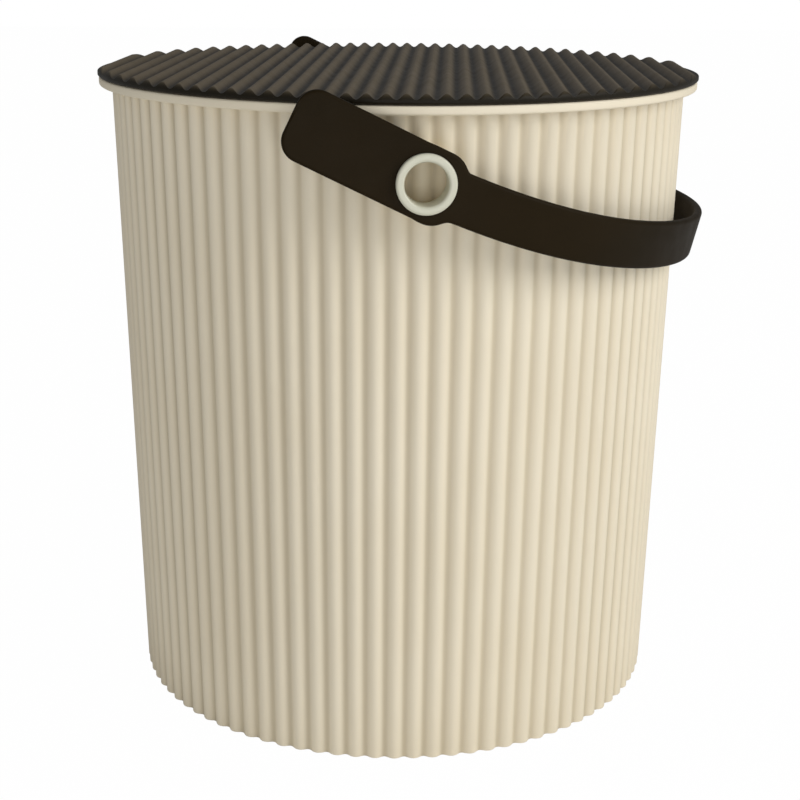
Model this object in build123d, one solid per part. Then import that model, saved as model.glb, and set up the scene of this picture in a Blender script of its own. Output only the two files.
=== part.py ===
"""Round ribbed bucket with a corrugated drop-on lid and a soft strap handle.

Units are millimetres. The origin is the middle of the bucket's underside, +Z is up, and
the handle turns about the line along Y through the two pivot rings. The handle hangs
down on the +X side.
"""
from build123d import *
from math import asin, cos, degrees, radians, sin
import os

# Driving sizes of the bucket
RIM_TOP = 345.6
RIM_OVERHANG = 6.9
RIM_HEIGHT = 4.6
CREST_RADIUS_TOP = 158.3
CREST_RADIUS_FOOT = 150.8
RIB_COUNT = 90
RIB_DEPTH = 2.2
WALL = 2.2
FLOOR = 3.0
FOOT_RECESS = 2.0
FOOT_RING_WIDTH = 9.0
RIM_CORNER = 0.9

# Driving sizes of the lid
LID_OVERHANG = 0.6
LID_SEAT_GAP = 0.3
LID_CREST_HEIGHT = 5.1
LID_WAVE_PITCH = 9.28
LID_WAVE_DEPTH = 2.8
LID_WAVE_TURN = -6.2
LID_EDGE_BEVEL = 2.2
SKIRT_WALL = 2.0
SKIRT_DEPTH = 9.0

# Driving sizes of the pivots
PIVOT_DROP = 34.0
STRAP_STANDOFF = 12.8
EYE_RADIUS = 12.5
RING_HOLE_RADIUS = 10.35
RING_FLANGE_RADIUS = 14.3
RING_FLANGE = 3.2
RING_EDGE = 0.8
COLLAR_WALL = 3.0
SLEEVE_GRIP = 6.0

# Driving sizes of the handle
STRAP_THICK = 4.3
STRAP_WIDTH = 24.5
STRAP_PAST_LID = 9.8
STRAP_FLAT = 12.0
STRAP_SIDE_CENTRE = 28.0
STRAP_BOW_RADIUS = 603.0
STRAP_BOW_START = 10.4
STRAP_DROOP = 14.0
PADDLE_DROOP = 26.0
PADDLE_WIDTH = 35.0
PADDLE_TAIL = 69.0
PADDLE_HEAD = 17.0
PADDLE_CORNER = 10.0
SHOULDER_ROUND = 11.0
STRAP_EDGE = 1.1

# Clearances
SLIDE_GAP = 0.3
TURN_GAP = 0.1
SKIRT_GAP = 0.5
PLUG_GAP = 0.05

# Sizes that follow from the driving ones
RIM_RADIUS = CREST_RADIUS_TOP + RIM_OVERHANG
LID_RADIUS = RIM_RADIUS + LID_OVERHANG
LID_BOTTOM = RIM_TOP + LID_SEAT_GAP
LID_CREST = LID_BOTTOM + LID_CREST_HEIGHT
PIVOT_HEIGHT = RIM_TOP - PIVOT_DROP
STRAP_OUTER_Y = RIM_RADIUS + STRAP_STANDOFF
STRAP_INNER_Y = STRAP_OUTER_Y - STRAP_THICK
STRAP_REACH = LID_RADIUS + STRAP_PAST_LID
STRAP_SIDE_RADIUS = STRAP_OUTER_Y - STRAP_SIDE_CENTRE
COLLAR_FACE_Y = STRAP_INNER_Y - SLIDE_GAP
FLANGE_BACK_Y = STRAP_OUTER_Y + SLIDE_GAP
SLEEVE_RADIUS = EYE_RADIUS - TURN_GAP
COLLAR_BORE_RADIUS = SLEEVE_RADIUS + PLUG_GAP
COLLAR_RADIUS = COLLAR_BORE_RADIUS + COLLAR_WALL


def crest_radius(height):
    """Radius of the ribs' crests at a height above the floor."""
    return CREST_RADIUS_FOOT + (CREST_RADIUS_TOP - CREST_RADIUS_FOOT) * height / RIM_TOP


def polar(radius, angle, height):
    """Point at a radius and an angle in degrees about the bucket's axis."""
    return Vector(radius * cos(radians(angle)), radius * sin(radians(angle)), height)


def ribbed_wire(crest, height):
    """Closed outline of rounded ribs that meet in narrow valleys, with a crest facing each pivot."""
    pitch = 360 / RIB_COUNT
    valley = crest - RIB_DEPTH
    edges = []
    for rib in range(RIB_COUNT):
        middle = 90 + rib * pitch
        start = polar(valley, middle - pitch / 2, height)
        end = polar(valley, middle + pitch / 2, height)
        edges.append(ThreePointArc(start, polar(crest, middle, height), end))
    return Wire(edges)


def ribbed_solid(bottom, top):
    """Tapered ribbed body between two heights."""
    low = Face(ribbed_wire(crest_radius(bottom), bottom))
    high = Face(ribbed_wire(crest_radius(top), top))
    return loft([low, high], ruled=True)


def inner_radius(height):
    """Radius of the smooth inside of the wall, which keeps the wall's thickness at each valley."""
    return crest_radius(height) - RIB_DEPTH - WALL


def ring_profile(inner, outer, bottom, top):
    """Rectangle in the XZ plane for a ring about the Z axis."""
    width = outer - inner
    height = top - bottom
    place = Pos((inner + outer) / 2, 0, (bottom + top) / 2)
    return place * (Plane.XZ * Rectangle(width, height))


def along_pivot(side, profile, start, end):
    """Extrude a flat shape in the XZ plane from one distance on the pivot line to another."""
    from_plane = Plane((0, side * start, PIVOT_HEIGHT), x_dir=(1, 0, 0), z_dir=(0, side, 0))
    return extrude(from_plane * profile, end - start)


def make_bucket():
    """Ribbed wall, floor, rim and the two collars that carry the pivot rings."""
    outside = ribbed_solid(0, RIM_TOP)
    floor_top = FLOOR + FOOT_RECESS
    cavity_height = RIM_TOP - floor_top
    cavity = Pos(0, 0, floor_top) * Cone(
        inner_radius(floor_top),
        inner_radius(RIM_TOP),
        cavity_height,
        align=(Align.CENTER, Align.CENTER, Align.MIN),
    )
    foot_radius = crest_radius(0) - RIB_DEPTH - FOOT_RING_WIDTH
    recess = Cylinder(foot_radius, FOOT_RECESS, align=(Align.CENTER, Align.CENTER, Align.MIN))

    lip = ring_profile(RIM_RADIUS - WALL, RIM_RADIUS, RIM_TOP - RIM_HEIGHT, RIM_TOP)
    web = ring_profile(inner_radius(RIM_TOP) + WALL / 2, RIM_RADIUS, RIM_TOP - WALL, RIM_TOP)
    rim = revolve(lip + web, Axis.Z)
    outer_edges = rim.edges().filter_by(
        lambda edge: edge.geom_type == GeomType.CIRCLE and edge.radius > RIM_RADIUS - 0.1
    )
    rim = chamfer(outer_edges, RIM_CORNER)

    body = outside + rim
    for side in (-1, 1):
        body += along_pivot(side, Circle(COLLAR_RADIUS), inner_radius(PIVOT_HEIGHT) - WALL, COLLAR_FACE_Y)
    body = body - cavity - recess
    for side in (-1, 1):
        body -= along_pivot(side, Circle(COLLAR_BORE_RADIUS), crest_radius(PIVOT_HEIGHT) + SLIDE_GAP, COLLAR_FACE_Y)
    return body


def make_ring(side):
    """Hollow pivot ring: a flange that keeps the strap on and a sleeve plugged in the collar."""
    flange = along_pivot(side, Circle(RING_FLANGE_RADIUS), FLANGE_BACK_Y, FLANGE_BACK_Y + RING_FLANGE)
    sleeve = along_pivot(side, Circle(SLEEVE_RADIUS), COLLAR_FACE_Y - SLEEVE_GRIP, FLANGE_BACK_Y)
    ring = flange + sleeve
    ring -= along_pivot(side, Circle(RING_HOLE_RADIUS), COLLAR_FACE_Y - SLEEVE_GRIP, FLANGE_BACK_Y + RING_FLANGE)
    front_y = side * (FLANGE_BACK_Y + RING_FLANGE)
    front_edges = ring.edges().filter_by(
        lambda edge: edge.geom_type == GeomType.CIRCLE and abs(edge.center().Y - front_y) < 0.01
    )
    return chamfer(front_edges, RING_EDGE)


def wave_line(base, half_span):
    """Run of tangent crest and valley arcs along X, with a crest at 0 and a low flat past each last crest."""
    half_pitch = LID_WAVE_PITCH / 2
    last_crest = 2 * int(half_span / LID_WAVE_PITCH)
    edges = []
    for step in range(-last_crest, last_crest + 1):
        middle = step * half_pitch
        rise = LID_WAVE_DEPTH / 2 if step % 2 == 0 else -LID_WAVE_DEPTH / 2
        start = (middle - half_pitch / 2, base)
        end = (middle + half_pitch / 2, base)
        edges.append(ThreePointArc(start, (middle, base + rise), end))
    low = base - LID_WAVE_DEPTH / 2
    low_start = (last_crest + 1) * half_pitch
    low_end = low_start + LID_WAVE_PITCH
    left = [Line((-low_end, low), (-low_start, low)), Line((-low_start, low), edges[0] @ 0)]
    right = [Line(edges[-1] @ 1, (low_start, low)), Line((low_start, low), (low_end, low))]
    return left + edges + right


def wave_block():
    """Block with a corrugated top and a flat underside, larger than the lid, before it is cut round."""
    upper = wave_line(LID_CREST - LID_WAVE_DEPTH / 2, LID_RADIUS)
    left_top = upper[0] @ 0
    right_top = upper[-1] @ 1
    left_foot = Vector(left_top.X, LID_BOTTOM)
    right_foot = Vector(right_top.X, LID_BOTTOM)
    sides = [Line(right_top, right_foot), Line(right_foot, left_foot), Line(left_foot, left_top)]
    section = Face(Wire(upper + sides))
    block = extrude(Plane.XZ * section, LID_RADIUS + 1, both=True)
    return Rot(0, 0, LID_WAVE_TURN) * block


def make_lid():
    """Corrugated disc that lies on the rim, and a skirt below that drops into the mouth."""
    disc = Pos(0, 0, LID_BOTTOM) * Cylinder(
        LID_RADIUS, LID_CREST_HEIGHT, align=(Align.CENTER, Align.CENTER, Align.MIN)
    )
    disc = chamfer(disc.edges().sort_by(Axis.Z)[-1], LID_EDGE_BEVEL)
    skirt_radius = inner_radius(RIM_TOP) - SKIRT_GAP
    skirt_top = LID_BOTTOM + LID_CREST_HEIGHT - LID_WAVE_DEPTH
    skirt = revolve(
        ring_profile(skirt_radius - SKIRT_WALL, skirt_radius, LID_BOTTOM - SKIRT_DEPTH, skirt_top), Axis.Z
    )
    return (wave_block() & disc) + skirt


def strap_profile():
    """Plan outline of the bail, seen along the strap's width: flats, side arcs and a far arc."""
    reach = STRAP_REACH - STRAP_FLAT
    offset = STRAP_SIDE_CENTRE
    far_radius = (reach**2 + offset**2 - STRAP_SIDE_RADIUS**2) / (2 * (reach - STRAP_SIDE_RADIUS))
    far_centre = STRAP_REACH - far_radius
    turn = degrees(asin(offset / (far_radius - STRAP_SIDE_RADIUS)))
    edges = {}
    for inset in (0, STRAP_THICK):
        side_radius = STRAP_SIDE_RADIUS - inset
        front = CenterArc((STRAP_FLAT, -offset), side_radius, -90, 90 - turn)
        far = CenterArc((far_centre, 0), far_radius - inset, -turn, 2 * turn)
        rear = CenterArc((STRAP_FLAT, offset), side_radius, turn, 90 - turn)
        front_tail = Line((-PADDLE_TAIL * 2, -STRAP_OUTER_Y + inset), front @ 0)
        rear_tail = Line(rear @ 1, (-PADDLE_TAIL * 2, STRAP_OUTER_Y - inset))
        edges[inset] = [front_tail, front, far, rear, rear_tail]
    outer = edges[0]
    inner = edges[STRAP_THICK]
    front_end = Line(inner[0] @ 0, outer[0] @ 0)
    rear_end = Line(outer[-1] @ 1, inner[-1] @ 1)
    return Face(Wire(outer + [rear_end] + inner + [front_end]))


def strap_side_outline():
    """Side outline of the handle about the pivot: bowed strap, shoulders and straight paddle."""
    bow_start = radians(STRAP_BOW_START)
    centre = (STRAP_BOW_RADIUS * sin(bow_start), STRAP_BOW_RADIUS * cos(bow_start))
    sweep = STRAP_BOW_START + degrees(asin((STRAP_REACH * 1.1 - centre[0]) / STRAP_BOW_RADIUS))
    start_angle = 270 - STRAP_BOW_START
    upper = CenterArc(centre, STRAP_BOW_RADIUS - STRAP_WIDTH / 2, start_angle, sweep)
    lower = CenterArc(centre, STRAP_BOW_RADIUS + STRAP_WIDTH / 2, start_angle, sweep)
    strap = Face(Wire([upper, Line(upper @ 1, lower @ 1), lower, Line(lower @ 0, upper @ 0)]))

    length = PADDLE_TAIL + PADDLE_HEAD
    paddle = Rectangle(length, PADDLE_WIDTH)
    tail_corners = paddle.vertices().group_by(Axis.X)[0]
    paddle = fillet(tail_corners, PADDLE_CORNER)
    head_corners = paddle.vertices().group_by(Axis.X)[-1]
    paddle = fillet(head_corners, SHOULDER_ROUND)
    paddle = Pos((PADDLE_HEAD - PADDLE_TAIL) / 2, 0) * paddle
    paddle = Rot(0, 0, STRAP_DROOP - PADDLE_DROOP) * paddle

    outline = paddle + strap
    return outline


def borders_a_face(edge):
    """True for an edge along the strap, false for one across its width or through its thickness."""
    if edge.geom_type != GeomType.LINE:
        return True
    run = (edge @ 1) - (edge @ 0)
    across_width = abs(run.Z) > 0.9 * edge.length
    through_thickness = abs(edge.length - STRAP_THICK) < 0.1
    return not across_width and not through_thickness


def make_handle():
    """Soft strap bail: the plan profile and the side outline cut from one block, with two eyes."""
    reach_up = 3 * STRAP_WIDTH
    band = extrude(strap_profile(), reach_up, both=True)
    side = extrude(Plane.XZ * strap_side_outline(), STRAP_OUTER_Y + 1, both=True)
    handle = band & side
    handle = chamfer(handle.edges().filter_by(borders_a_face), STRAP_EDGE)
    handle -= Rot(90, 0, 0) * Cylinder(EYE_RADIUS, 3 * STRAP_OUTER_Y)
    return Pos(0, 0, PIVOT_HEIGHT) * (Rot(0, STRAP_DROOP, 0) * handle)


def main():
    """Build each piece and write it under its own name."""
    os.makedirs("parts", exist_ok=True)
    pieces = {
        "bucket": make_bucket(),
        "lid": make_lid(),
        "handle": make_handle(),
        "pivot_ring_front": make_ring(-1),
        "pivot_ring_rear": make_ring(1),
    }
    for name, piece in pieces.items():
        export_step(piece, f"parts/{name}.step")


main()
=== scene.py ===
"""Looks of a round ribbed bucket with a corrugated lid and a soft strap handle.

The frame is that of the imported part: the origin is the middle of the bucket's underside, +Z
is up, the handle's pivots lie on Y and the handle hangs on +X. The pieces' sizes are written
in millimetres and become metres when a mesh is made. The stage is in metres throughout.
"""
from __future__ import annotations

import logging
from dataclasses import dataclass, replace
from enum import Enum
from typing import Sequence

import bpy
import numpy as np
from mathutils import Matrix, Vector

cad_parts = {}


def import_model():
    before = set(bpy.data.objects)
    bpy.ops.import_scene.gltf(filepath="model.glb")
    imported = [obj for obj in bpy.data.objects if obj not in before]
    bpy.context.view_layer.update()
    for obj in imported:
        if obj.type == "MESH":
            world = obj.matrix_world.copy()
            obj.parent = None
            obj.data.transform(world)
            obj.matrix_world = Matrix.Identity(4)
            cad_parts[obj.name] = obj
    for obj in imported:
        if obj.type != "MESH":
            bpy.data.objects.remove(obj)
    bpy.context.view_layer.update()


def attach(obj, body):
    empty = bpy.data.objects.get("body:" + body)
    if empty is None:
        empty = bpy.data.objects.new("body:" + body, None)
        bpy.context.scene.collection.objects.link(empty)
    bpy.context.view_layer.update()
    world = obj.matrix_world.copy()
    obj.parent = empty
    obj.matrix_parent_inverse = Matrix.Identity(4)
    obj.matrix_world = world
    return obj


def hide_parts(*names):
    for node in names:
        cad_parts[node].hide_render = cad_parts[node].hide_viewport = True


LOG = logging.getLogger("bucket")
MM = 0.001
# Vertex attribute of painted shade: the share of a darker colour laid in the valleys, and on the lid's
# rounded edge.
PAINTED_SHADE_ATTRIBUTE = "painted_shade"
PIVOT_HEIGHT = 311.6

Colour = tuple[float, float, float, float]


class Side(Enum):
    """Which of the two pivots a piece belongs to, and the sign of its place along Y."""

    FRONT = -1
    REAR = 1


# Meshes


def grid_faces(rows: int, columns: int, wrap_rows: bool, wrap_columns: bool) -> np.ndarray:
    """Quads of a grid of vertices numbered row by row.

    Args:
        rows: number of rows of vertices.
        columns: number of vertices in a row.
        wrap_rows: whether the last row joins the first.
        wrap_columns: whether the last column joins the first.

    Returns:
        An array of four vertex numbers for each quad.
    """
    row_count = rows if wrap_rows else rows - 1
    column_count = columns if wrap_columns else columns - 1
    row, column = np.meshgrid(np.arange(row_count), np.arange(column_count), indexing="ij")
    next_row = (row + 1) % rows
    next_column = (column + 1) % columns
    corners = (
        row * columns + column,
        row * columns + next_column,
        next_row * columns + next_column,
        next_row * columns + column,
    )
    return np.stack(corners, axis=-1).reshape(-1, 4)


def fan_faces(ring: np.ndarray, centre: int) -> np.ndarray:
    """Triangles from a ring of vertices to a centre vertex, in the ring's order."""
    return np.stack((ring, np.roll(ring, -1), np.full(len(ring), centre)), axis=-1)


def build_mesh(
    name: str,
    points: np.ndarray,
    quads: np.ndarray,
    triangles: np.ndarray | None = None,
    sharp_angle: float = 40.0,
) -> bpy.types.Object:
    """Make a smooth-shaded object from arrays of points and faces.

    Args:
        name: the object's name.
        points: vertex places, one row each, in metres.
        quads: four vertex numbers for each quad.
        triangles: three vertex numbers for each triangle, if there are any.
        sharp_angle: bend in degrees above which an edge stays sharp.

    Returns:
        The new object, linked to the scene, at the origin.
    """
    faces = quads.tolist() + ([] if triangles is None else triangles.tolist())
    mesh = bpy.data.meshes.new(name)
    mesh.from_pydata(points.reshape(-1, 3), [], faces)
    mesh.update()
    mesh.polygons.foreach_set("use_smooth", np.ones(len(mesh.polygons), dtype=bool))
    mesh.set_sharp_from_angle(angle=np.radians(sharp_angle))
    thing = bpy.data.objects.new(name, mesh)
    bpy.context.scene.collection.objects.link(thing)
    return thing


def store_painted_shade(thing: bpy.types.Object, depth: np.ndarray) -> None:
    """Store on each vertex its share of painted shade, from 0 to 1, for the finish to read."""
    layer = thing.data.attributes.new(PAINTED_SHADE_ATTRIBUTE, "FLOAT", "POINT")
    layer.data.foreach_set("value", depth)


def dress(thing: bpy.types.Object, material: bpy.types.Material) -> None:
    """Give an object one material."""
    thing.data.materials.clear()
    thing.data.materials.append(material)


def full_turn(columns: int) -> np.ndarray:
    """Even angles round a full turn, in radians, without the last one that meets the first."""
    return np.linspace(0, 2 * np.pi, columns, endpoint=False)


def around_axis(radius: np.ndarray, height: np.ndarray, angle: np.ndarray) -> np.ndarray:
    """Points about the Z axis: the radius times the cosine and sine of the angle, and the height.

    Args:
        radius: one row for each point of the profile, as one column or one for each angle.
        height: one row for each point of the profile.
        angle: angles in radians.

    Returns:
        An array of points by profile row and angle.
    """
    across = radius * np.cos(angle)
    return np.stack((across, radius * np.sin(angle), np.broadcast_to(height, across.shape)), axis=-1)


def spun(first: np.ndarray, second: np.ndarray, degrees: float) -> tuple[np.ndarray, np.ndarray]:
    """Two coordinates turned about their origin, from the first towards the second."""
    turn = np.radians(degrees)
    return first * np.cos(turn) - second * np.sin(turn), first * np.sin(turn) + second * np.cos(turn)


def corner_arc(
    centre: tuple[float, float], radius: float, start: float, end: float, count: int = 5
) -> np.ndarray:
    """Points of an arc in a profile plane: centre plus radius times the cosine and sine of an angle.

    Args:
        centre: the arc's centre, in the profile's two lengths.
        radius: the arc's radius.
        start: first angle in degrees.
        end: last angle in degrees.
        count: number of points.

    Returns:
        An array of points, one row each.
    """
    angle = np.radians(np.linspace(start, end, count))
    return np.stack((centre[0] + radius * np.cos(angle), centre[1] + radius * np.sin(angle)), axis=-1)


# Shader expressions


class Shade:
    """A socket of a node tree that takes part in arithmetic."""

    def __init__(self, paint: "Paint", socket: bpy.types.NodeSocket) -> None:
        """Wrap an output socket of the paint's tree."""
        self.paint = paint
        self.socket = socket

    def _math(self, operation: str, *values: "Shade | float") -> "Shade":
        """Add a Math node of the operation on the given values."""
        return self.paint.node("ShaderNodeMath", {"operation": operation}, dict(enumerate(values)))

    def __add__(self, other: "Shade | float") -> "Shade":
        """Sum."""
        return self._math("ADD", self, other)

    __radd__ = __add__

    def __sub__(self, other: "Shade | float") -> "Shade":
        """Difference."""
        return self._math("SUBTRACT", self, other)

    def __rsub__(self, other: "Shade | float") -> "Shade":
        """Difference from a number."""
        return self._math("SUBTRACT", other, self)

    def __mul__(self, other: "Shade | float") -> "Shade":
        """Product."""
        return self._math("MULTIPLY", self, other)

    __rmul__ = __mul__

    def either(self, other: "Shade") -> "Shade":
        """The larger of two values."""
        return self._math("MAXIMUM", self, other)

    def clamp(self, low: float, high: float) -> "Shade":
        """The value held between two limits."""
        return self._math("MINIMUM", self._math("MAXIMUM", self, low), high)


class Paint:
    """Builder of the node tree of one material, or of the world."""

    def __init__(self, name: str, world: bool = False) -> None:
        """Start a material, or a world, with an empty tree."""
        self.owner = (bpy.data.worlds if world else bpy.data.materials).new(name)
        self.owner.use_nodes = True
        self.tree = self.owner.node_tree
        self.tree.nodes.clear()

    def node(
        self,
        kind: str,
        settings: dict[str, object] | None = None,
        inputs: dict[str | int, object] | None = None,
        output: str | int = 0,
    ) -> Shade:
        """Add a node.

        Args:
            kind: the node's type.
            settings: properties that are set first.
            inputs: values or links of its sockets, by name or number.
            output: the socket that is handed back.

        Returns:
            The chosen output as a Shade, which is empty for a node without outputs.
        """
        made = self.tree.nodes.new(kind)
        for name, value in (settings or {}).items():
            setattr(made, name, value)
        for key, value in (inputs or {}).items():
            if isinstance(value, Shade):
                self.tree.links.new(value.socket, made.inputs[key])
            else:
                made.inputs[key].default_value = value
        return Shade(self, made.outputs[output] if len(made.outputs) else None)

    def noise(self, scale: float, detail: float) -> Shade:
        """Noise between 0 and 1 on Object coordinates.

        Args:
            scale: how many lumps to a metre.
            detail: octaves of finer noise.

        Returns:
            The noise's value.
        """
        place = self.node("ShaderNodeTexCoord", output="Object")
        return self.node("ShaderNodeTexNoise", {}, {"Vector": place, "Scale": scale, "Detail": detail})

    def mix(self, share: Shade | float, first: object, second: object) -> Shade:
        """Colour between two colours, by a share."""
        inputs = {"Factor": share, 6: first, 7: second}
        return self.node("ShaderNodeMix", {"data_type": "RGBA"}, inputs, output=2)

    def finish(self, **inputs: object) -> bpy.types.Material:
        """End the tree with a Principled surface.

        Args:
            inputs: its sockets by name, with underscores for spaces.

        Returns:
            The material.
        """
        named = {name.replace("_", " "): value for name, value in inputs.items()}
        surface = self.node("ShaderNodeBsdfPrincipled", {}, named)
        self.node("ShaderNodeOutputMaterial", {}, {"Surface": surface})
        return self.owner


def colour(red: float, green: float, blue: float) -> Colour:
    """Opaque colour from three linear values."""
    return (red, green, blue, 1.0)


WHITE = colour(1, 1, 1)


@dataclass(frozen=True)
class Plastic:
    """Moulded plastic: a base colour with faint clouding, an uneven gloss and a fine skin, and painted shade
    in the valleys where it has a valley colour.
    """

    name: str
    base: Colour
    cloud: Colour
    cloud_scale: float = 14.0
    cloud_detail: float = 4.0
    cloud_start: float = 0.35
    cloud_gain: float = 3.0
    roughness: float = 0.5
    roughness_range: float = 0.1
    wear_fineness: float = 6.0
    wear_detail: float = 5.0
    skin_scale: float = 900.0
    skin_detail: float = 2.0
    skin_strength: float = 0.06
    skin_depth: float = 0.0004
    specular: float = 0.5
    # Painted shade: the darker colour laid in the valleys, and how much of it at the deepest.
    valley: Colour | None = None
    painted_shade_share: float = 0.6

    def material(self) -> bpy.types.Material:
        """Build the finish, with painted shade mixed into the valleys where it has a valley colour.

        Returns:
            The material.
        """
        paint = Paint(self.name)
        clouds = paint.noise(self.cloud_scale, self.cloud_detail)
        clouded = ((clouds - self.cloud_start) * self.cloud_gain).clamp(0.0, 1.0)
        tone_and_painted_shade = paint.mix(clouded, self.base, self.cloud)
        # Painted shade: the valleys, as marked on the vertices, take the darker valley colour.
        if self.valley is not None:
            depth = paint.node("ShaderNodeAttribute", {"attribute_name": PAINTED_SHADE_ATTRIBUTE}, output="Fac")
            tone_and_painted_shade = paint.mix(depth * self.painted_shade_share, tone_and_painted_shade, self.valley)
        wear = paint.noise(self.cloud_scale * self.wear_fineness, self.wear_detail)
        gloss = (wear - 0.5) * (2 * self.roughness_range) + self.roughness
        skin = paint.noise(self.skin_scale, self.skin_detail)
        relief = {"Strength": self.skin_strength, "Distance": self.skin_depth, "Height": skin}
        return paint.finish(
            Base_Color=tone_and_painted_shade,
            Roughness=gloss,
            Normal=paint.node("ShaderNodeBump", {}, relief),
            Specular_IOR_Level=self.specular,
        )


CREAM_PLASTIC = Plastic(
    "cream_plastic",
    base=colour(0.87, 0.785, 0.615),
    cloud=colour(0.85, 0.76, 0.585),
    roughness=0.58,
    specular=0.35,
)
# The bucket's cream with painted shade: a dark brown laid in the rib valleys.
CREAM_WITH_PAINTED_SHADE = replace(CREAM_PLASTIC, name="cream_plastic_with_painted_shade", valley=colour(0.50, 0.42, 0.28))
RING_PLASTIC = Plastic(
    "ring_plastic",
    base=colour(0.68, 0.67, 0.54),
    cloud=colour(0.66, 0.65, 0.52),
    roughness=0.32,
    skin_strength=0.03,
)
# The lid's plastic with painted shade: near black in the corrugation valleys and on the rounded edge.
LID_PLASTIC = Plastic(
    "lid_plastic",
    base=colour(0.115, 0.089, 0.053),
    cloud=colour(0.130, 0.101, 0.062),
    specular=0.16,
    valley=colour(0.012, 0.009, 0.004),
    painted_shade_share=1.0,
    skin_scale=1400.0,
    skin_strength=0.12,
)
STRAP_RUBBER = Plastic(
    "strap_rubber",
    base=colour(0.0130, 0.0080, 0.0018),
    cloud=colour(0.0175, 0.0105, 0.0028),
    roughness=0.52,
    specular=0.08,
    skin_scale=1600.0,
    skin_strength=0.15,
)


# The bucket


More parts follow.
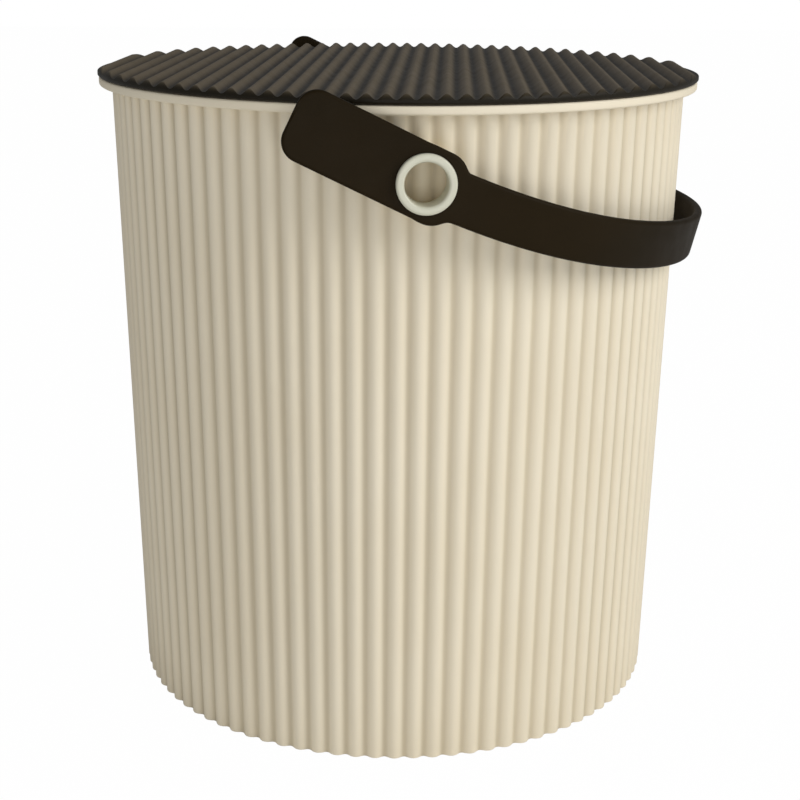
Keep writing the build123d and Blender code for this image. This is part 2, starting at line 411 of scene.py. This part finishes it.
@dataclass
class Shell:
    """Ribbed wall, rim and foot of the bucket, as one surface turned about the axis."""

    rim_top: float = 345.6
    rim_radius: float = 165.2
    rim_height: float = 4.6
    rim_corner: float = 1.3
    rim_root: float = 0.4
    rim_root_share: float = 0.8
    lip_bevel: float = 0.3
    crest_top: float = 158.3
    crest_foot: float = 150.8
    rib_count: int = 90
    rib_depth: float = 2.2
    crest_share: float = 0.66
    wall: float = 2.2
    floor: float = 3.0
    floor_corner: float = 2.5
    floor_corner_middle: float = 0.7
    mouth_depth: float = 12.0
    recess: float = 2.0
    recess_round: float = 0.6
    foot_ring: float = 9.0
    foot_edge: float = 2.0
    foot_round: float = 0.8
    foot_round_middle: float = 0.25
    bevel: float = 0.5
    pole: float = 0.1
    wall_rows: int = 12
    steps_per_rib: int = 14
    # Power on the rib's drop for the painted shade in the valleys.
    painted_shade_power: float = 3.0
    sharp_angle: float = 50.0

    def crest(self, height: float) -> float:
        """Radius of the crests at a height."""
        return self.crest_foot + (self.crest_top - self.crest_foot) * height / self.rim_top

    def rib_drop(self, angle: np.ndarray) -> np.ndarray:
        """Depth below the crests, from 0 to 1, round the wall.

        Within the crest's share the depth grows with the square of the way from its middle,
        and in the valley it falls short of 1 by the square of the way from the valley's
        middle, so that the two curves meet with the same slope.

        Args:
            angle: angles about the axis in radians, with a crest at 90 degrees.

        Returns:
            The share of the rib's depth at each angle.
        """
        turn = (angle - np.pi / 2) * self.rib_count / (2 * np.pi)
        way = np.abs(turn - np.round(turn)) * 2
        share = self.crest_share
        on_crest = share * (way / share) ** 2
        in_valley = 1 - (1 - share) * ((1 - way) / (1 - share)) ** 2
        return np.where(way < share, on_crest, in_valley)

    def painted_valley_shade(self, angle: np.ndarray) -> np.ndarray:
        """How much painted shade shows round the wall: the rib's drop to a power."""
        return self.rib_drop(angle) ** self.painted_shade_power

    def foot(self) -> list[tuple[float, float, float]]:
        """Points from the middle of the underside, through the recess, to the foot's outer edge."""
        outer = self.crest(0)
        valley = outer - self.rib_depth
        edge = valley - self.foot_ring
        middle = self.foot_round_middle
        return [
            (self.pole, self.recess, 0),
            (edge / 2, self.recess, 0),
            (edge - self.recess_round, self.recess, 0),
            (edge, self.recess - self.recess_round, 0),
            (edge, self.bevel, 0),
            (edge + self.bevel, 0.0, 0),
            (valley - self.foot_edge, 0.0, 0),
            (outer - self.foot_round, 0.0, 1),
            (outer - middle, middle, 1),
        ]

    def outside(self) -> list[tuple[float, float, float]]:
        """Points up the ribbed wall to the rim, and round the rim to the edge of the mouth."""
        web = self.rim_top - self.wall
        low = self.rim_top - self.rim_height
        lip = self.rim_radius - self.wall
        heights = np.linspace(self.foot_round, web - self.rim_root, self.wall_rows)
        points = [(self.crest(height), height, 1) for height in heights]
        points += [
            (self.crest(web) + self.rim_root, web, self.rim_root_share),
            (lip - self.bevel, web, 0),
            (lip, web - self.bevel, 0),
            (lip, low + self.lip_bevel, 0),
            (lip + self.lip_bevel, low, 0),
        ]
        corner = self.rim_corner
        bottom = corner_arc((self.rim_radius - corner, low + corner), corner, -90, 0)
        top = corner_arc((self.rim_radius - corner, self.rim_top - corner), corner, 0, 90)
        return points + [(radius, height, 0) for radius, height in np.vstack((bottom, top))]

    def inside(self) -> list[tuple[float, float, float]]:
        """Points from the edge of the mouth down the smooth inside to the middle of the floor."""
        mouth = self.crest(self.rim_top) - self.rib_depth - self.wall
        floor_top = self.floor + self.recess
        well = self.crest(floor_top) - self.rib_depth - self.wall
        corner, middle = self.floor_corner, self.floor_corner_middle
        return [
            (mouth + self.bevel, self.rim_top, 0),
            (mouth, self.rim_top - self.bevel, 0),
            (mouth, self.rim_top - self.mouth_depth, 0),
            (well, floor_top + corner, 0),
            (well - middle, floor_top + middle, 0),
            (well - corner, floor_top, 0),
            (well / 2, floor_top, 0),
            (self.pole, floor_top, 0),
        ]

    def build(self, finish: bpy.types.Material) -> bpy.types.Object:
        """Turn the profile about the axis, drawn in by the rib's depth where ribs show.

        Each point of the profile has the radius at a crest, a height and how much of the rib
        shows there, from 0 to 1. Its two ends are closed by a fan to a point on the axis.

        Args:
            finish: the wall's material.

        Returns:
            The bucket without its collars.
        """
        profile = np.array(self.foot() + self.outside() + self.inside())
        rows = len(profile)
        columns = self.rib_count * self.steps_per_rib
        angle = full_turn(columns)
        drop = self.rib_drop(angle) * self.rib_depth
        points = around_axis(profile[:, :1] - profile[:, 2:] * drop, profile[:, 1:2], angle)
        poles = np.array([[0, 0, profile[0, 1]], [0, 0, profile[-1, 1]]])
        points = np.vstack((points.reshape(-1, 3), poles)) * MM
        first = np.arange(columns)[::-1]
        last = (rows - 1) * columns + np.arange(columns)
        caps = np.vstack((fan_faces(first, rows * columns), fan_faces(last, rows * columns + 1)))
        faces = grid_faces(rows, columns, False, True)
        shell = build_mesh("bucket_shell", points, faces, caps, self.sharp_angle)
        # Painted shade in the rib valleys, only where the ribs show.
        depth = (profile[:, 2:] * self.painted_valley_shade(angle)).ravel()
        store_painted_shade(shell, np.append(depth, (0.0, 0.0)))
        dress(shell, finish)
        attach(shell, "bucket_body")
        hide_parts("bucket")
        return shell


@dataclass
class TurnedRing:
    """A ring turned about the pivot line, from a closed profile of radius and distance along Y."""

    name: str
    side: Side
    profile: np.ndarray
    columns: int = 96
    sharp_angle: float = 50.0

    def build(self) -> bpy.types.Object:
        """Sweep the profile round the pivot line: X and Z from the radius, Y from the distance.

        Returns:
            The ring.
        """
        angle = full_turn(self.columns)
        radius = self.profile[:, :1]
        across = radius * np.cos(angle)
        height = PIVOT_HEIGHT + radius * np.sin(angle)
        along = np.broadcast_to(self.side.value * self.profile[:, 1:2], across.shape)
        points = np.stack((across, along, height), axis=-1) * MM
        faces = grid_faces(len(self.profile), self.columns, True, True)
        if self.side is Side.FRONT:
            faces = faces[:, ::-1]
        return build_mesh(self.name, points, faces, sharp_angle=self.sharp_angle)


@dataclass
class Pivots:
    """The two collars on the wall and the two hollow rings plugged into them."""

    hole: float = 10.35
    flange: float = 14.3
    flange_back: float = 178.3
    flange_thick: float = 3.2
    flange_round: float = 1.4
    flange_bevel: float = 0.3
    round_steps: int = 7
    sleeve: float = 12.4
    sleeve_end: float = 167.4
    collar_bore: float = 12.45
    collar_radius: float = 15.45
    collar_face: float = 173.4
    collar_bevel: float = 0.4
    collar_root: float = 153.6
    flare: float = 1.0
    flare_start: float = 157.0
    flare_end: float = 160.0

    def ring_profile(self) -> np.ndarray:
        """Section of a ring, with a rounded front edge on the outside and in the hole.

        Returns:
            Radius and distance along Y of each point.
        """
        face = self.flange_back + self.flange_thick
        soft = self.flange_round
        back = [
            (self.hole, self.sleeve_end),
            (self.sleeve, self.sleeve_end),
            (self.sleeve, self.flange_back),
            (self.flange - self.flange_bevel, self.flange_back),
            (self.flange, self.flange_back + self.flange_bevel),
        ]
        outer = corner_arc((self.flange - soft, face - soft), soft, 0, 90, self.round_steps)
        inner = corner_arc((self.hole + soft, face - soft), soft, 90, 180, self.round_steps)
        return np.vstack((np.array(back), outer, inner))

    def collar_profile(self) -> np.ndarray:
        """Section of a collar, with its root inside the wall and a flare where it meets the ribs.

        Returns:
            Radius and distance along Y of each point.
        """
        points = [
            (self.collar_bore, self.collar_root),
            (self.collar_radius + self.flare, self.collar_root),
            (self.collar_radius + self.flare, self.flare_start),
            (self.collar_radius, self.flare_end),
            (self.collar_radius, self.collar_face - self.collar_bevel),
            (self.collar_radius - self.collar_bevel, self.collar_face),
            (self.collar_bore, self.collar_face),
        ]
        return np.array(points)

    def build(self, ring: bpy.types.Material, collar: bpy.types.Material) -> list[bpy.types.Object]:
        """Make both rings and both collars.

        Args:
            ring: finish of the rings.
            collar: finish of the collars.

        Returns:
            The four objects.
        """
        made = []
        for side in Side:
            label = side.name.lower()
            ring_piece = TurnedRing(f"ring_{label}", side, self.ring_profile()).build()
            dress(ring_piece, ring)
            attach(ring_piece, "bucket_body")
            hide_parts(f"pivot_ring_{label}")
            collar_piece = TurnedRing(f"collar_{label}", side, self.collar_profile()).build()
            dress(collar_piece, collar)
            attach(collar_piece, "bucket_body")
            made += [ring_piece, collar_piece]
        return made


# The lid


@dataclass
class Lid:
    """Corrugated disc with a rounded edge, and the skirt under it."""

    radius: float = 165.8
    bottom: float = 345.9
    crest_height: float = 5.1
    wave_pitch: float = 9.28
    wave_depth: float = 2.8
    last_crest: int = 17
    turn: float = -6.2
    edge_round: float = 3.0
    foot_round: float = 0.7
    # Power on the wave's drop for the painted shade in the valleys.
    painted_shade_power: float = 2.2
    columns: int = 560
    rows: int = 72
    sine_share: float = 0.6
    edge_crowd: float = 1.6
    sharp_angle: float = 60.0
    skirt_outer: float = 153.4
    skirt_wall: float = 2.0
    skirt_depth: float = 9.0
    skirt_overlap: float = 0.4
    skirt_inner_bevel: float = 0.4
    skirt_outer_bevel: float = 0.6
    skirt_columns: int = 240

    def drop(self, across: np.ndarray) -> np.ndarray:
        """Share of the wave's depth, from 0 on a crest to 1 in a valley, by a cosine.

        Past the last crest on each side the wave stays in its valley.

        Args:
            across: distance from the middle crest, square to the crests.

        Returns:
            The share at each distance.
        """
        phase = np.minimum(np.abs(across) / self.wave_pitch, self.last_crest + 0.5)
        return (1 - np.cos(2 * np.pi * phase)) / 2

    def top_height(self, across: np.ndarray, distance: np.ndarray) -> np.ndarray:
        """Height of the top: a cosine wave across the lid, cut off by a rounded edge.

        Args:
            across: distance from the middle crest, square to the crests.
            distance: distance from the lid's axis.

        Returns:
            The lower of the wave and the edge's quarter round, at each point.
        """
        crest = self.bottom + self.crest_height
        wave = crest - self.wave_depth * self.drop(across)
        over = np.clip(distance - (self.radius - self.edge_round), 0, self.edge_round)
        edge = crest - self.edge_round + np.sqrt(self.edge_round**2 - over**2)
        return np.minimum(wave, edge)

    def plate(self) -> bpy.types.Object:
        """The disc as columns of points along the crests: over the top and back underneath.

        A column lies at the radius times the sine of an angle, and its points at the column's
        half length times a share that crowds towards the two edges. The underside is drawn in
        a little, which rounds the disc's lower edge.

        Returns:
            The disc, turned about its axis as it lies in the photograph.
        """
        angle = np.linspace(-np.pi / 2, np.pi / 2, self.columns)[:, None]
        across = self.radius * np.sin(angle)
        half = self.radius * np.cos(angle)
        step = np.linspace(-1, 1, self.rows)[None, :]
        share = np.sin(step * np.pi / 2) * self.sine_share + step * (1 - self.sine_share)
        along = half * np.sign(share) * (1 - (1 - np.abs(share)) ** self.edge_crowd)
        top = self.top_height(across, np.hypot(across, along))
        flat = np.stack((across * np.ones_like(along), along), axis=-1)
        upper = np.concatenate((flat, top[..., None]), axis=-1)
        edge = upper[:, [-1, 0]].copy()
        edge[..., 2] = self.bottom + self.foot_round
        shrink = 1 - self.foot_round / self.radius
        under = np.concatenate((flat * shrink, np.full_like(top, self.bottom)[..., None]), axis=-1)
        loop = np.concatenate((upper, edge[:, :1], under[:, ::-1], edge[:, 1:]), axis=1)
        turned = loop.copy()
        turned[..., 0], turned[..., 1] = spun(loop[..., 0], loop[..., 1], self.turn)
        faces = grid_faces(self.columns, turned.shape[1], False, True)
        plate = build_mesh("lid_plate", turned * MM, faces[:, ::-1], sharp_angle=self.sharp_angle)
        # Painted shade: the wave's valleys, and the rounded edge all round, take the lid's near-black valley
        # colour.
        reach = np.hypot(loop[..., 0], loop[..., 1])
        rim = np.clip((reach - self.radius + self.edge_round) / self.edge_round, 0, 1)
        store_painted_shade(plate, np.maximum(self.drop(loop[..., 0]) ** self.painted_shade_power, rim).ravel())
        return plate

    def skirt(self) -> bpy.types.Object:
        """The ring under the disc that drops into the bucket's mouth, turned about the axis.

        Returns:
            The skirt.
        """
        low = self.bottom - self.skirt_depth
        top = self.bottom + self.skirt_overlap
        outer = self.skirt_outer
        inner = outer - self.skirt_wall
        profile = np.array(
            [
                (outer, top),
                (inner, top),
                (inner, low + self.skirt_inner_bevel),
                (inner + self.skirt_inner_bevel, low),
                (outer - self.skirt_outer_bevel, low),
                (outer, low + self.skirt_outer_bevel),
            ]
        )
        points = around_axis(profile[:, :1], profile[:, 1:], full_turn(self.skirt_columns))
        return build_mesh("lid_skirt", points * MM, grid_faces(len(profile), self.skirt_columns, True, True))

    def build(self, finish: bpy.types.Material) -> list[bpy.types.Object]:
        """Make the disc and the skirt.

        Args:
            finish: the lid's material.

        Returns:
            The two objects.
        """
        plate = self.plate()
        skirt = self.skirt()
        for piece in (plate, skirt):
            dress(piece, finish)
            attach(piece, "lid_body")
        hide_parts("lid")
        return [plate, skirt]


# The handle


@dataclass
class Strap:
    """Soft strap bail: a flat outline bent round a plan curve, with an eye at each end."""

    outer_y: float = 178.0
    thick: float = 4.3
    width: float = 24.5
    reach: float = 175.6
    flat: float = 12.0
    side_radius: float = 150.0
    bow_radius: float = 603.0
    bow_start: float = 10.4
    droop: float = 14.0
    paddle_droop: float = 26.0
    paddle_width: float = 35.0
    paddle_tail: float = 69.0
    paddle_head: float = 17.0
    paddle_corner: float = 10.0
    shoulder_round: float = 11.0
    shoulder_reach: float = 12.0
    corner_steps: int = 24
    eye: float = 12.5
    eye_steps: int = 96
    cutter_reach: float = 20.0
    edge_round: float = 1.7
    neck_blend: float = 2.5
    neck_end: float = 45.0
    tail_steps: int = 40
    neck_steps: int = 45
    bail_steps: int = 70
    width_steps: int = 36
    sharp_angle: float = 50.0

    def arcs(self) -> tuple[float, float]:
        """Radius of the far arc, and the angle through which each side arc turns before it.

        The far arc is tangent to both side arcs and passes through the strap's furthest reach,
        which gives its radius by the law of Pythagoras.

        Returns:
            The radius in millimetres and the angle in radians.
        """
        offset = self.outer_y - self.side_radius
        run = self.reach - self.flat
        far = (run**2 + offset**2 - self.side_radius**2) / (2 * (run - self.side_radius))
        return far, np.pi / 2 - np.arcsin(offset / (far - self.side_radius))

    def plan(self, length: np.ndarray) -> tuple[np.ndarray, np.ndarray, np.ndarray]:
        """Plan curve of the strap's outer face: a straight, a side arc and the far arc.

        Args:
            length: way along the curve from the front pivot, in millimetres.

        Returns:
            Reach, distance along Y and heading in radians, for the front half.
        """
        far, turn = self.arcs()
        side_end = self.flat + self.side_radius * turn
        side_angle = np.clip((length - self.flat) / self.side_radius, 0, turn)
        far_angle = np.clip(length - side_end, 0, None) / far
        heading = side_angle + far_angle
        straight = np.minimum(length, self.flat)
        reach = straight + self.side_radius * np.sin(side_angle)
        reach += far * (np.sin(turn + far_angle) - np.sin(turn))
        along = -self.outer_y + self.side_radius * (1 - np.cos(side_angle))
        along += far * (np.cos(turn) - np.cos(turn + far_angle))
        return reach, along, heading

    def outline(self) -> tuple[np.ndarray, np.ndarray]:
        """Upper and lower edge of the paddle and its shoulders, as runs of reach and height.

        The paddle is a rectangle with rounded corners, turned about the pivot.

        Returns:
            The two runs, each in the order of growing reach.
        """
        half = self.paddle_width / 2
        tail, head = self.paddle_corner, self.shoulder_round
        upper_tail = corner_arc((-self.paddle_tail + tail, half - tail), tail, 180, 90, self.corner_steps)
        upper_head = corner_arc((self.paddle_head - head, half - head), head, 90, 0, self.corner_steps)
        upper = np.vstack((upper_tail, upper_head))
        ring = np.vstack((upper, upper[::-1] * (1, -1)))
        turned = np.stack(spun(ring[:, 0], ring[:, 1], self.droop - self.paddle_droop), axis=-1)
        left = int(np.argmin(turned[:, 0]))
        right = (int(np.argmax(turned[:, 0])) - left) % len(turned)
        turned = np.roll(turned, -left, axis=0)
        lower = np.vstack((turned[right:], turned[:1]))[::-1]
        return turned[: right + 1], lower

    def limits(self, reach: np.ndarray) -> tuple[np.ndarray, np.ndarray]:
        """Lower and upper edge of the whole handle at each reach.

        Past the pivot the strap is a band of even width about a wide arc, and where the
        paddle's shoulder meets it the larger of the two is taken, softened over a few
        millimetres: half the sum of both, plus half the root of their squared difference and
        the blend's square.

        Args:
            reach: distances from the pivot line, along the strap's plane.

        Returns:
            The two heights above that plane.
        """
        upper, lower = self.outline()
        start = np.radians(self.bow_start)
        centre = (self.bow_radius * np.sin(start), self.bow_radius * np.cos(start))
        strap_upper, strap_lower = (
            centre[1] - np.sqrt((self.bow_radius + sign * self.width / 2) ** 2 - (reach - centre[0]) ** 2)
            for sign in (-1, 1)
        )
        out_of_play = self.reach
        paddle_upper = np.interp(reach, upper[:, 0], upper[:, 1], right=-out_of_play)
        paddle_lower = np.interp(reach, lower[:, 0], lower[:, 1], right=out_of_play)
        on_tail = reach < 0
        past = reach > self.paddle_head + self.shoulder_reach
        upper_gap = np.hypot(paddle_upper - strap_upper, self.neck_blend)
        lower_gap = np.hypot(paddle_lower - strap_lower, self.neck_blend)
        blended_upper = (paddle_upper + strap_upper + upper_gap) / 2
        blended_lower = (paddle_lower + strap_lower - lower_gap) / 2
        high = np.where(on_tail, paddle_upper, np.where(past, strap_upper, blended_upper))
        low = np.where(on_tail, paddle_lower, np.where(past, strap_lower, blended_lower))
        return low, high

    def stations(self) -> np.ndarray:
        """Ways along the plan curve from the tail's tip to the far middle, closer at the tip.

        Returns:
            The ways in growing order, in millimetres.
        """
        upper, _ = self.outline()
        tip = upper[0, 0]
        tail = tip * np.cos(np.linspace(0, np.pi / 2, self.tail_steps, endpoint=False))
        shoulder = np.linspace(0, self.neck_end, self.neck_steps, endpoint=False)
        far, turn = self.arcs()
        middle = self.flat + self.side_radius * turn + far * (np.pi / 2 - turn)
        return np.concatenate((tail, shoulder, np.linspace(self.neck_end, middle, self.bail_steps)))

    def edge_sink(
        self, front: np.ndarray, low: np.ndarray, height: np.ndarray, high: np.ndarray
    ) -> np.ndarray:
        """How far each face point sinks to round the edge all the way round.

        A point nearer the outline than the edge radius sinks by that radius less the root of
        the radius squared minus the shortfall squared, which is a quarter round.

        Args:
            front: way along the plan curve of each station.
            low: lower edge at each station.
            height: height of each point, by station and place across the width.
            high: upper edge at each station.

        Returns:
            The depth at each point.
        """
        flat = np.stack((np.broadcast_to(front[:, None], height.shape), height), axis=-1)
        border = np.vstack((np.stack((front, low), -1), np.stack((front, high), -1)))
        border = np.vstack((border, (border[1:] + border[:-1])[: len(front) - 1] / 2))
        away = np.linalg.norm(flat[:, :, None, :] - border[None, None], axis=-1).min(axis=-1)
        away = np.minimum(away, np.minimum(height - low[:, None], high[:, None] - height))
        short = np.clip(self.edge_round - away, 0, self.edge_round)
        return self.edge_round - np.sqrt(self.edge_round**2 - short**2)

    def build(self, finish: bpy.types.Material) -> bpy.types.Object:
        """Bend the outline round the plan curve, round its edges and cut the two eyes.

        The front half runs from its tail to the far middle, and the rear half mirrors it. The
        whole is then tilted about the pivot line by its droop.

        Args:
            finish: the strap's material.

        Returns:
            The handle.
        """
        front = self.stations()
        reach, along, heading = self.plan(front)
        low, high = self.limits(reach)
        share = (1 - np.cos(np.linspace(0, np.pi, self.width_steps))) / 2
        height = low[:, None] + (high - low)[:, None] * share
        sink = self.edge_sink(front, low, height, high)
        layers = []
        for inset in (sink, self.thick - sink):
            layer_reach = reach[:, None] - inset * np.sin(heading)[:, None]
            layer_along = along[:, None] + inset * np.cos(heading)[:, None]
            layers.append(np.stack((layer_reach, layer_along, height), axis=-1))
        loop = np.concatenate((layers[0], layers[1][:, ::-1]), axis=1)
        whole = np.concatenate((loop, loop[-2::-1] * (1, -1, 1)), axis=0)
        tilt = np.radians(self.droop)
        points = np.empty_like(whole)
        points[..., 0] = whole[..., 0] * np.cos(tilt) + whole[..., 2] * np.sin(tilt)
        points[..., 1] = whole[..., 1]
        points[..., 2] = PIVOT_HEIGHT - whole[..., 0] * np.sin(tilt)
        points[..., 2] += whole[..., 2] * np.cos(tilt)
        faces = grid_faces(points.shape[0], points.shape[1], False, True)
        handle = build_mesh("strap_handle", points * MM, faces, sharp_angle=self.sharp_angle)
        dress(handle, finish)
        self.cut_eyes(handle)
        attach(handle, "handle_body")
        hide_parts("handle")
        return handle

    def cut_eyes(self, handle: bpy.types.Object) -> None:
        """Cut a round hole on the pivot line through both paddles.

        Args:
            handle: the solid strap, whose mesh is changed.
        """
        angle = full_turn(self.eye_steps)
        ring = np.stack((self.eye * np.cos(angle), np.zeros_like(angle), self.eye * np.sin(angle)), -1)
        centres = [(0, side.value * (self.outer_y + self.cutter_reach), PIVOT_HEIGHT) for side in Side]
        points = np.vstack([ring + centre for centre in centres] + [np.array(centres)]) * MM
        first = np.arange(self.eye_steps)
        second = first[::-1] + self.eye_steps
        pole = 2 * self.eye_steps
        caps = np.vstack((fan_faces(first, pole), fan_faces(second, pole + 1)))
        faces = grid_faces(2, self.eye_steps, False, True)[:, ::-1]
        cutter = build_mesh("eye_cutter", points, faces, caps)
        cut = handle.modifiers.new("eyes", "BOOLEAN")
        cut.operation = "DIFFERENCE"
        cut.solver = "EXACT"
        cut.object = cutter
        graph = bpy.context.evaluated_depsgraph_get()
        result = bpy.data.meshes.new_from_object(handle.evaluated_get(graph), depsgraph=graph)
        handle.modifiers.clear()
        handle.data = result
        result.set_sharp_from_angle(angle=np.radians(self.sharp_angle))
        bpy.data.objects.remove(cutter)


# The stage


@dataclass
class Studio:
    """Pale floor, soft lamps and the camera at the photograph's angle, in metres and radians.

    The camera stands at the azimuth in degrees, looks down by the pitch, aside by the yaw and
    leans by the roll. The floor and the world are plain white where the camera sees them.
    """

    pixels: int = 800
    focal_pixels: float = 1571.3
    centre_column: float = 404.0
    distance: float = 0.8964
    height: float = 0.4254
    azimuth: float = -4.27
    yaw: float = 0.0055
    pitch: float = 0.2937
    roll: float = -0.0099
    sensor: float = 36.0
    clip_end: float = 50.0
    key_place: tuple[float, float, float] = (1.35, -0.95, 1.1)
    key_size: float = 1.1
    key_power: float = 15.5
    fill_place: tuple[float, float, float] = (-0.1, -1.5, 0.04)
    fill_size: float = 1.0
    fill_power: float = 7.0
    lamp_target: tuple[float, float, float] = (0.0, 0.0, 0.2)
    ambient: float = 0.37
    gloss: float = 0.25
    floor_span: float = 6.0
    floor_colour: Colour = (0.86, 0.86, 0.855, 1.0)
    floor_white: float = 0.99

    def camera(self) -> None:
        """Place the camera, with the lens and shift of the photograph."""
        data = bpy.data.cameras.new("camera")
        data.sensor_width = self.sensor
        data.lens = self.focal_pixels * self.sensor / self.pixels
        data.shift_x = (self.pixels / 2 - self.centre_column) / self.pixels
        data.clip_end = self.clip_end
        turn = Matrix.Rotation(np.radians(self.azimuth), 3, "Z")
        look = Matrix.Rotation(-self.yaw, 3, "Z")
        side = look @ Vector((1, 0, 0))
        forward = look @ Vector((0, np.cos(self.pitch), -np.sin(self.pitch)))
        upward = look @ Vector((0, np.sin(self.pitch), np.cos(self.pitch)))
        right = side * np.cos(self.roll) - upward * np.sin(self.roll)
        top = side * np.sin(self.roll) + upward * np.cos(self.roll)
        axes = Matrix((turn @ right, turn @ top, turn @ -forward)).transposed()
        place = turn @ Vector((0, -self.distance, self.height))
        thing = bpy.data.objects.new("camera", data)
        bpy.context.scene.collection.objects.link(thing)
        thing.matrix_world = Matrix.Translation(place) @ axes.to_4x4()
        bpy.context.scene.camera = thing

    def lamp(self, name: str, place: Sequence[float], size: float, power: float) -> None:
        """Add a square area lamp that faces the middle of the bucket.

        Args:
            name: the lamp's name.
            place: where it hangs.
            size: its side.
            power: its power in watts.
        """
        data = bpy.data.lights.new(name, "AREA")
        data.shape = "SQUARE"
        data.size = size
        data.energy = power
        thing = bpy.data.objects.new(name, data)
        bpy.context.scene.collection.objects.link(thing)
        thing.location = place
        target = Vector(self.lamp_target) - Vector(place)
        thing.rotation_euler = target.to_track_quat("-Z", "Y").to_euler()

    def floor(self) -> None:
        """Lay a wide pale floor, which is almost plain white to the camera and matt to all else."""
        span = self.floor_span
        corners = np.array([[-span, -span, 0], [span, -span, 0], [span, span, 0], [-span, span, 0]])
        floor = build_mesh("floor", corners, np.array([[0, 1, 2, 3]]))
        paint = Paint("pale_floor")
        seen = paint.node("ShaderNodeLightPath", output="Is Camera Ray")
        matt = paint.node("ShaderNodeBsdfDiffuse", {}, {"Color": self.floor_colour})
        bright = paint.node("ShaderNodeEmission", {}, {"Color": WHITE, "Strength": 1.0})
        surface = paint.node("ShaderNodeMixShader", {}, {0: seen * self.floor_white, 1: matt, 2: bright})
        paint.node("ShaderNodeOutputMaterial", {}, {"Surface": surface})
        dress(floor, paint.owner)

    def sky(self) -> None:
        """Set an even world: white to the camera and through glass, dimmer as a light and in gloss."""
        paint = Paint("studio", world=True)
        seen, through, mirrored = (
            paint.node("ShaderNodeLightPath", output=f"Is {kind} Ray")
            for kind in ("Camera", "Transmission", "Glossy")
        )
        soft, glossy, bright = (
            paint.node("ShaderNodeBackground", {}, {"Color": WHITE, "Strength": strength})
            for strength in (self.ambient, self.gloss, 1.0)
        )
        lit = paint.node("ShaderNodeMixShader", {}, {0: mirrored, 1: soft, 2: glossy})
        sky = paint.node("ShaderNodeMixShader", {}, {0: seen.either(through), 1: lit, 2: bright})
        paint.node("ShaderNodeOutputWorld", {}, {"Surface": sky})
        bpy.context.scene.world = paint.owner

    def build(self) -> None:
        """Set the camera, floor, world and lamps, and the plain view transform."""
        self.camera()
        self.floor()
        self.sky()
        self.lamp("key", self.key_place, self.key_size, self.key_power)
        self.lamp("fill", self.fill_place, self.fill_size, self.fill_power)
        bpy.context.scene.view_settings.view_transform = "Standard"


def main() -> None:
    """Build every piece in order, set the stage and report."""
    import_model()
    pieces = [Shell().build(CREAM_WITH_PAINTED_SHADE.material())]
    pieces += Pivots().build(RING_PLASTIC.material(), CREAM_PLASTIC.material())
    pieces += Lid().build(LID_PLASTIC.material())
    pieces.append(Strap().build(STRAP_RUBBER.material()))
    for piece in pieces:
        LOG.info("%s has %d faces", piece.name, len(piece.data.polygons))
    Studio().build()


if __name__ == "__main__":
    logging.basicConfig(level=logging.INFO)
    main()
